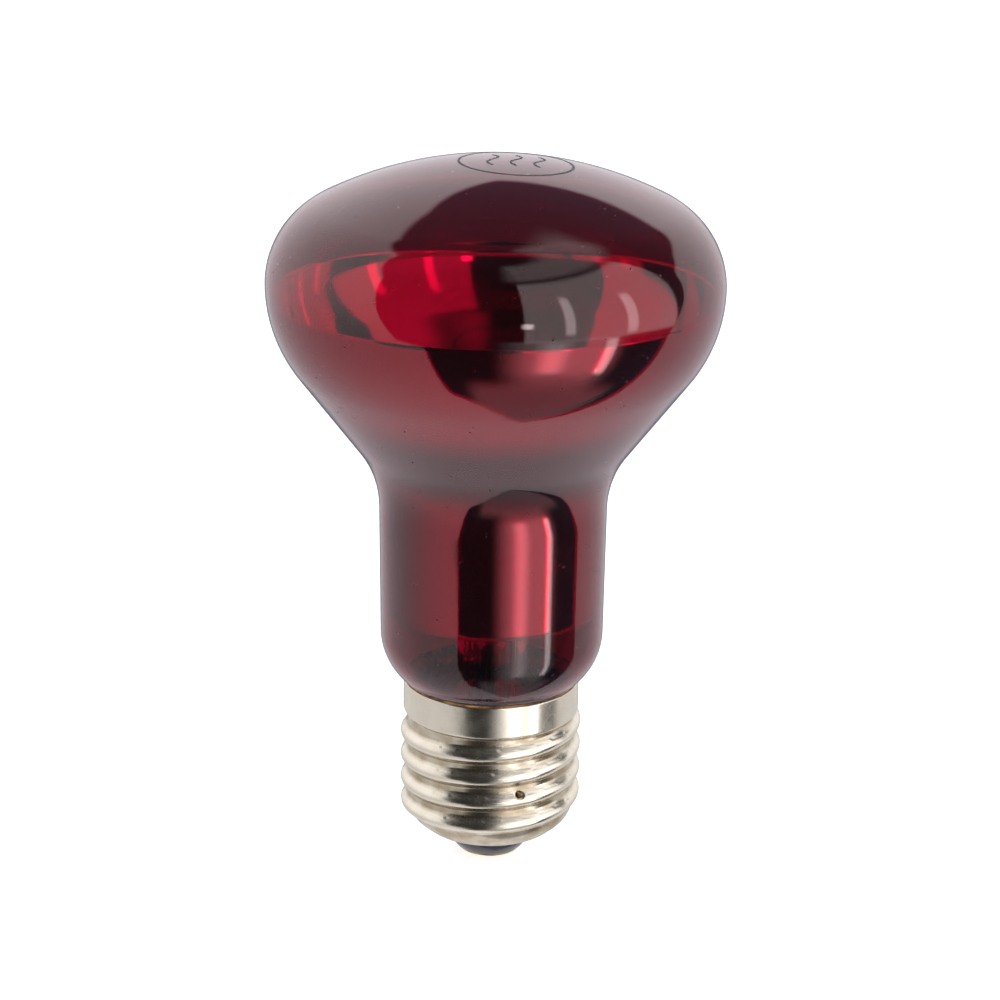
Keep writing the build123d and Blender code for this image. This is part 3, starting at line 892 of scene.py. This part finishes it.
@dataclass
class ThreadedCap:
    """Cap shell rolled from light-gauge sheet, its thread run out at both ends as on a real cap."""

    rim_z: float = 27.25
    collar_r: float = 12.7
    collar_z: float = 22.4
    groove_r: float = 12.192
    crest_r: float = 13.1
    root_r: float = 12.13
    pitch: float = 3.629
    thread_round: float = 1.025
    first_crest_z: float = 7.1
    turns: float = 4.0
    run_in: float = 0.22
    run_out: float = 0.35
    wall: float = 0.3
    shoulder_bend: float = 0.55
    rim_bend: float = 0.25
    taper_top_z: float = 8.6
    taper_shoulder_r: float = 4.0
    taper_angle: float = 50.0
    taper_length: float = 1.2
    lip_bend_r: float = 3.0
    lip_angle: float = 70.0
    lip_r: float = 6.05
    row_step: float = 0.13
    segments: int = 300
    punch_angle: float = -70.2
    punch_z: float = 13.6
    punch_r: float = 0.4
    punch_depth: float = 1.4
    insulator_foot_r: float = 4.9
    insulator_foot_z: float = 0.85
    insulator_bore_r: float = 1.22
    insulator_top_z: float = 7.0
    insulator_gap: float = 0.03
    insulator_chamfer: float = 0.12
    insulator_chamfer_run: float = 0.17
    insulator_round: float = 0.25
    insulator_round_angle: float = 50.0
    insulator_bulge: float = 0.3
    insulator_steps: int = 12
    insulator_segments: int = 160

    def meridian(self, inset: float) -> np.ndarray:
        """Plain shell without its thread, from the rim down to the lip."""
        step = self.collar_r - self.groove_r
        bend = self.shoulder_bend
        turn = math.degrees(math.acos(1 - step / (2 * bend)))
        pen = Pen(self.collar_r - inset - self.rim_bend * 0.3, self.rim_z, -60.0)
        pen.bend(self.rim_bend, -30.0, 4)
        shift = self.collar_r - inset - pen.spot[0]
        pen.points = [(r + shift, z) for r, z in pen.points]
        shoulder_z = self.collar_z + bend * math.sin(math.radians(turn))
        pen.run(pen.spot[1] - shoulder_z, 30)
        pen.bend(bend - inset, -turn, 8)
        pen.bend(bend + inset, turn, 8)
        fall = pen.spot[1] - self.taper_top_z
        pen.run(fall, int(fall / self.row_step))
        pen.bend(self.taper_shoulder_r - inset, -self.taper_angle, 28)
        pen.run(self.taper_length, 8)
        pen.bend(self.lip_bend_r - inset, self.taper_angle - self.lip_angle, 10)
        reach = (pen.spot[0] - self.lip_r) / math.sin(math.radians(self.lip_angle))
        pen.run(reach, 16)
        return np.array(pen.points)

    def thread_rise(self, height: np.ndarray, angle: np.ndarray, inset: float) -> np.ndarray:
        """Height of the thread above the groove level.

        Args:
            height: z of each point.
            angle: angle of each point about the axis, in radians from +X.
            inset: depth under the outer surface.

        Returns:
            Rise of each point, never below zero.
        """
        turn_part = ((angle - math.pi / 2) / (2 * math.pi)) % 1.0
        along = (height - self.first_crest_z) / self.pitch - turn_part
        nearest = np.round(along)
        offset = np.abs(along - nearest) * self.pitch
        crest_round, root_round = self.thread_round - inset, self.thread_round + inset
        crest_centre = self.crest_r - self.thread_round
        root_centre = self.root_r + self.thread_round
        half_pitch = self.pitch / 2
        join = crest_round / (crest_round + root_round) * half_pitch
        crest = crest_centre + np.sqrt(np.maximum(crest_round**2 - offset**2, 0))
        root = root_centre - np.sqrt(np.maximum(root_round**2 - (half_pitch - offset) ** 2, 0))
        rise = np.where(offset < join, crest, root) - (self.groove_r - inset)
        travelled = nearest + turn_part
        fade_in = np.clip(travelled / self.run_in + 0.5, 0, 1)
        fade_out = np.clip((self.turns - travelled) / self.run_out + 0.5, 0, 1)
        fade = fade_in**2 * (3 - 2 * fade_in) * fade_out**2 * (3 - 2 * fade_out)
        return np.maximum(rise, 0) * fade

    def surface(self, inset: float) -> np.ndarray:
        """Rings of points on the shell, set in by a distance."""
        line = self.meridian(inset)
        angle = np.linspace(0, 2 * math.pi, self.segments, endpoint=False)
        height = np.repeat(line[:, 1:], self.segments, axis=1)
        spin = np.repeat(angle[None], len(line), axis=0)
        radius = line[:, :1] + self.thread_rise(height, spin, inset)
        around = (spin - math.radians(self.punch_angle) + math.pi) % (2 * math.pi) - math.pi
        far = np.hypot(around * self.groove_r, height - self.punch_z) / self.punch_r
        radius = radius - self.punch_depth * np.exp(-(far**4))
        return np.stack([radius * np.cos(spin), radius * np.sin(spin), height], axis=-1)

    def build(self) -> Piece:
        """Roll the shell: both faces of the sheet, joined at the rim and the lip."""
        outer, inner = self.surface(0.0), self.surface(self.wall)
        inner[0, :, 2] = outer[0, :, 2]
        rings = np.concatenate([outer, inner[::-1]])
        faces = grid_faces(len(rings), self.segments, wrap_rows=True)
        return put_mesh("threaded_shell", rings.reshape(-1, 3), faces)

    def build_insulator(self) -> Piece:
        """Pour the insulator: a cone below the lip that fills the foot of the shell."""
        inside = [
            (float(r), float(z))
            for r, z in self.meridian(self.wall + self.insulator_gap)
            if z < self.insulator_top_z
        ][::-1]
        pen = Pen(self.insulator_bore_r, self.insulator_foot_z + self.insulator_chamfer, -45.0)
        pen.run(self.insulator_chamfer_run, 1)
        pen.heading = 0.0
        pen.run(self.insulator_foot_r - self.insulator_round - pen.spot[0], 10)
        pen.bend(self.insulator_round, self.insulator_round_angle, 6)
        rise = inside[0][1] - pen.spot[1]
        start = pen.spot
        for step in range(1, self.insulator_steps):
            part = step / self.insulator_steps
            bulge = self.insulator_bulge * math.sin(math.pi * part)
            out = (inside[0][0] - start[0]) * part + bulge
            pen.points.append((start[0] + out, start[1] + rise * part))
        loop = pen.points + inside + [(self.insulator_bore_r, self.insulator_top_z)]
        return lathe("vitrite_insulator", loop, self.insulator_segments)

    def make(self) -> list[Piece]:
        """Build and dress the shell and insulator, and dress the frame's parts of the cap."""
        shell, insulator = self.build(), self.build_insulator()
        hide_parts("screw_shell")
        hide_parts("base_insulator")
        PLATE.dress(shell)
        VITRITE.dress(insulator)
        nodes = frame["nodes"]
        for name, finish in (
            ("contact_plate", BRASS),
            ("centre_solder", SOLDER),
            ("side_solder", SOLDER),
            ("cement_ring", CEMENT),
        ):
            finish.dress(nodes[name])
        return [shell, insulator]


@dataclass
class CoiledFilament:
    """Tungsten wire wound as a close coil and held in an open ring."""

    height: float = 72.2
    ring_r: float = 9.0
    coil_r: float = 0.45
    wire_r: float = 0.055
    pitch: float = 0.19
    gap_angle: float = 80.0
    tail: float = 2.0
    points_per_turn: int = 10
    sides: int = 5

    def axis_point(self, along: float) -> tuple[np.ndarray, np.ndarray]:
        """Place and outward direction on the coil's axis, this far from the ring's middle."""
        half_ring = self.ring_r * math.radians(360 - self.gap_angle) / 2
        held = max(-half_ring, min(half_ring, along))
        angle = math.pi / 2 + held / self.ring_r
        outward = np.array([math.cos(angle), math.sin(angle), 0.0])
        onward = np.array([-math.sin(angle), math.cos(angle), 0.0])
        place = self.ring_r * outward + (along - held) * onward + np.array([0, 0, self.height])
        return place, outward

    def build(self) -> Piece:
        """Wind the wire round the ring and both straight tails."""
        half = self.ring_r * math.radians(360 - self.gap_angle) / 2 + self.tail
        turns = 2 * half / self.pitch
        steps = int(turns * self.points_per_turn)
        middle_r = self.coil_r - self.wire_r
        path = []
        for step in range(steps + 1):
            part = step / steps
            place, outward = self.axis_point(-half + 2 * half * part)
            spin = 2 * math.pi * turns * part
            path.append(
                place + middle_r * (math.cos(spin) * outward + math.sin(spin) * np.array([0, 0, 1.0]))
            )
        points, faces = tube(np.array(path), self.wire_r, self.sides)
        return put_mesh("filament_coil", points, faces)

    def make(self) -> list[Piece]:
        """Build and dress the filament."""
        coil = self.build()
        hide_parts("filament")
        TUNGSTEN.dress(coil)
        return [coil]


@dataclass
class StemAndLeads:
    """Glass stem with the wires that it carries, all shaped in the frame."""

    glass: tuple[str, ...] = ("stem_flare", "exhaust_tube", "arbor_rod", "fuse_sleeve")
    supports: tuple[str, ...] = tuple(f"support_wire_{index}" for index in range(1, 5))
    inner_leads: tuple[str, ...] = ("inner_lead_1", "inner_lead_2")
    seal_wires: tuple[str, ...] = ("seal_wire_1", "seal_wire_2")
    outer_leads: tuple[str, ...] = ("shell_lead", "centre_lead", "fuse_wire")

    def make(self) -> list[Piece]:
        """Dress every part of the stem."""
        dressed = []
        for names, finish in (
            (self.glass, CLEAR),
            (self.supports, MOLYBDENUM),
            (self.inner_leads, NICKEL),
            (self.seal_wires, DUMET),
            (self.outer_leads, COPPER),
        ):
            for name in names:
                finish.dress(frame["nodes"][name])
                dressed.append(frame["nodes"][name])
        return dressed


# ------------------------------------------------------------------ studio


@dataclass(frozen=True)
class SoftPanel:
    """Soft lamp in the dark mouth of the tent.

    Bearings are degrees from the front, positive to the right. Heights are degrees above level.
    Softness is the width of the left, right, lower and upper edge.
    """

    bearing: tuple[float, float]
    height: tuple[float, float]
    softness: tuple[float, float, float, float]
    light: float


@dataclass
class Studio:
    """White light tent with a dark mouth, soft lamps in the mouth, a pale floor and the camera."""

    edge_softness: float = 1.5
    mouth_foot: tuple[tuple[float, float], ...] = (
        (-180, 32), (-164, 47), (-147, 55), (-104, 61), (-72, 42), (-65, 25), (-57, 1),
        (-50, -17), (-35, -21), (-32, -58), (-4, -75), (30, -83), (84, -83), (93, -56),
        (95, -22), (105, 2), (110, 22), (124, 29), (150, 32), (180, 32),
    )
    tent_light: tuple[tuple[float, float], ...] = (
        (-90, 1.1), (-60, 1.0), (-30, 0.8), (-18, 0.8), (0, 1.1), (20, 1.3), (90, 1.3),
    )
    room_light: float = 0.03
    light_scale: float = 1.5
    panels: tuple[SoftPanel, ...] = (
        SoftPanel((12, 62), (-46, -14), (30, 20, 26, 3), 1.35),
        SoftPanel((-16, 82), (-95, -50), (14, 6, 12, 14), 0.45),
        SoftPanel((14, 99), (-15, 54), (2, 3, 3, 6), 1.5),
        SoftPanel((34, 39), (-8, 34), (2, 2, 8, 8), 3.2),
        SoftPanel((67, 73), (-12, 26), (2, 2, 8, 8), 3.0),
        SoftPanel((13, 18), (1, 7), (3, 3, 3, 3), 8.0),
        SoftPanel((10, 160), (58, 78), (20, 20, 8, 8), 0.9),
        SoftPanel((24, 36), (-40, -16), (12, 12, 4, 4), 1.5),
        SoftPanel((57, 63), (-40, -16), (3, 3, 4, 4), 4.2),
    )
    table_shade: SoftPanel = SoftPanel((-16, 16), (-34, -4), (12, 12, 8, 8), 0.8)
    floor_half: float = 900.0
    floor_glow: float = 0.74
    camera_reach: float = 400.5
    aim_z: float = 60.0
    elevation: float = 17.59
    roll: float = -0.685
    lens: float = 101.754
    sensor: float = 36.0
    near_clip: float = 10.0
    aim_right: float = 0.002243
    aim_up: float = -0.013982
    bounces: int = 24
    glass_bounces: int = 20
    mirror_bounces: int = 16

    def panel_light(
        self,
        tree: Tree,
        panel: SoftPanel,
        across: Socket,
        height: Socket,
    ) -> Socket:
        """Light of one panel in each direction.

        Args:
            tree: the world's node tree.
            panel: the panel.
            across: bearing of the direction, in degrees.
            height: height of the direction, in degrees.

        Returns:
            Socket that holds the light.
        """
        light: Socket | float = panel.light
        for value, edges, softness in (
            (across, panel.bearing, panel.softness[:2]),
            (height, panel.height, panel.softness[2:]),
        ):
            for edge, half in ((edges[0], softness[0] / 2), (edges[1], -softness[1] / 2)):
                step = node(
                    tree,
                    "MapRange",
                    {"interpolation_type": "SMOOTHSTEP"},
                    {"Value": value, 1: edge - half, 2: edge + half},
                ).outputs["Result"]
                light = node(tree, "Math", {"operation": "MULTIPLY"}, {0: light, 1: step}).outputs[0]
        return light

    def drawn_line(
        self,
        tree: Tree,
        value: Socket,
        span: float,
        stops: tuple[tuple[float, float], ...],
        ends: tuple[float, float],
    ) -> Socket:
        """Read a line drawn through a few stops.

        Args:
            tree: the world's node tree.
            value: where to read the line, from -span to span.
            span: half the line's length.
            stops: places along the line with its value at each.
            ends: lowest and highest value that the line may have.

        Returns:
            Socket that holds the line's value.
        """
        low, high = ends
        place = node(tree, "MapRange", inputs={"Value": value, 1: -span, 2: span}).outputs["Result"]
        ramp = node(tree, "ValToRGB", inputs={"Fac": place})
        levels = [((at + span) / (2 * span), (level - low) / (high - low)) for at, level in stops]
        set_ramp(ramp, [(at, (level, level, level, 1.0)) for at, level in levels])
        return node(
            tree, "MapRange", inputs={"Value": ramp.outputs["Color"], 3: low, 4: high}
        ).outputs["Result"]

    def light_tent(self) -> None:
        """Build the world: what each direction round the lamp gives as light."""
        world = bpy.data.worlds.new("light_tent")
        bpy.context.scene.world = world
        world.use_nodes = True
        tree = world.node_tree
        tree.nodes.clear()

        x, y, z = node(tree, "SeparateXYZ", inputs={0: node(tree, "TexCoord").outputs["Generated"]}).outputs
        toward = node(tree, "Math", {"operation": "MULTIPLY"}, {0: y, 1: -1.0}).outputs[0]
        angles = []
        for operation, sides in (("ARCTAN2", (x, toward)), ("ARCTAN2", (x, y)), ("ARCSINE", (z,))):
            angle = node(tree, "Math", {"operation": operation}, dict(enumerate(sides))).outputs[0]
            angles.append(node(tree, "Math", {"operation": "DEGREES"}, {0: angle}).outputs[0])
        bearing, behind, height = angles

        inner: Socket | float = self.room_light
        for panel in self.panels:
            lamp = self.panel_light(tree, panel, bearing, height)
            inner = node(tree, "Math", {"operation": "ADD"}, {0: inner, 1: lamp}).outputs[0]
        foot = self.drawn_line(tree, bearing, 180.0, self.mouth_foot, (-90.0, 90.0))
        above = node(tree, "Math", {"operation": "SUBTRACT"}, {0: height, 1: foot}).outputs[0]
        mouth = node(
            tree,
            "MapRange",
            {"interpolation_type": "SMOOTHSTEP"},
            {"Value": above, 1: -self.edge_softness, 2: self.edge_softness},
        ).outputs["Result"]
        tent = self.drawn_line(tree, height, 90.0, self.tent_light, (0.0, self.light_scale))
        shade = self.panel_light(tree, self.table_shade, behind, height)
        bright = node(tree, "Math", {"operation": "SUBTRACT"}, {0: 1.0, 1: shade}).outputs[0]
        tent = node(tree, "Math", {"operation": "MULTIPLY"}, {0: tent, 1: bright}).outputs[0]
        light = node(tree, "Mix", {"data_type": "FLOAT"}, {0: mouth, 2: tent, 3: inner}).outputs[0]
        seen = node(tree, "LightPath").outputs["Is Camera Ray"]
        strength = node(tree, "Mix", {"data_type": "FLOAT"}, {0: seen, 2: light, 3: 1.0}).outputs[0]
        back = node(tree, "Background", inputs={"Color": (1.0, 1.0, 1.0, 1.0), "Strength": strength})
        node(tree, "OutputWorld", inputs={"Surface": back.outputs[0]})

    def pale_floor(self) -> Piece:
        """Lay a large pale floor that fades into the backdrop."""
        half = self.floor_half
        floor = put_mesh(
            "pale_floor",
            np.array([(-half, -half, 0), (half, -half, 0), (half, half, 0), (-half, half, 0)]),
            [(0, 1, 2, 3)],
        )
        made = bpy.data.materials.new("matt_white_card")
        made.use_nodes = True
        tree = made.node_tree
        tree.nodes.clear()
        place = node(tree, "TexCoord").outputs["Object"]
        fibre = node(tree, "TexNoise", inputs={"Vector": place, "Scale": per(3.0), "Detail": 2.0})
        tone = node(
            tree,
            "Mix",
            {"data_type": "RGBA"},
            {0: fibre.outputs["Fac"], 6: linear("e6e6e6"), 7: linear("ececec")},
        )
        card = node(
            tree,
            "BsdfPrincipled",
            inputs={
                "Base Color": tone.outputs[2],
                "Roughness": 0.9,
                "Emission Color": (1.0, 1.0, 1.0, 1.0),
                "Emission Strength": self.floor_glow,
            },
        )
        node(tree, "OutputMaterial", inputs={"Surface": card.outputs[0]})
        floor.data.materials.append(made)
        floor.visible_glossy = False
        floor.visible_transmission = False
        return floor

    def camera(self) -> Piece:
        """Set the camera level with the viewing angle, a little tilted to the side."""
        tip = math.radians(self.elevation)
        forward = Vector((0, math.cos(tip), -math.sin(tip)))
        turn = Matrix.Rotation(math.radians(self.roll), 3, forward)
        right = turn @ Vector((1, 0, 0))
        up = turn @ Vector((0, math.sin(tip), math.cos(tip)))
        aim = (forward + self.aim_right * right + self.aim_up * up).normalized()
        across = aim.cross(up).normalized()
        above = across.cross(aim)
        data = bpy.data.cameras.new("camera")
        data.lens = self.lens
        data.sensor_width = self.sensor
        data.clip_start = self.near_clip * MM
        made = bpy.data.objects.new("camera", data)
        made.matrix_world = (
            Matrix.Translation((Vector((0, 0, self.aim_z)) - self.camera_reach * forward) * MM)
            @ Matrix((across, above, -aim)).transposed().to_4x4()
        )
        bpy.context.scene.collection.objects.link(made)
        bpy.context.scene.camera = made
        return made

    def make(self) -> None:
        """Put up the studio round the lamp."""
        self.light_tent()
        self.pale_floor()
        self.camera()
        scene = bpy.context.scene
        scene.view_settings.view_transform = "Standard"
        scene.cycles.max_bounces = self.bounces
        scene.cycles.transmission_bounces = self.glass_bounces
        scene.cycles.glossy_bounces = self.mirror_bounces


def main() -> None:
    """Build the lamp and the studio."""
    logging.basicConfig(level=logging.INFO, format="%(name)s: %(message)s")
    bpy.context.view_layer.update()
    for assembly in (ReflectorBulb(), ThreadedCap(), CoiledFilament(), StemAndLeads()):
        for piece in assembly.make():
            if piece.parent is None:
                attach(piece, "root")
            LOG.info("%s: %s, %d vertices", type(assembly).__name__, piece.name, len(piece.data.vertices))
    Studio().make()


if __name__ == "__main__":
    main()
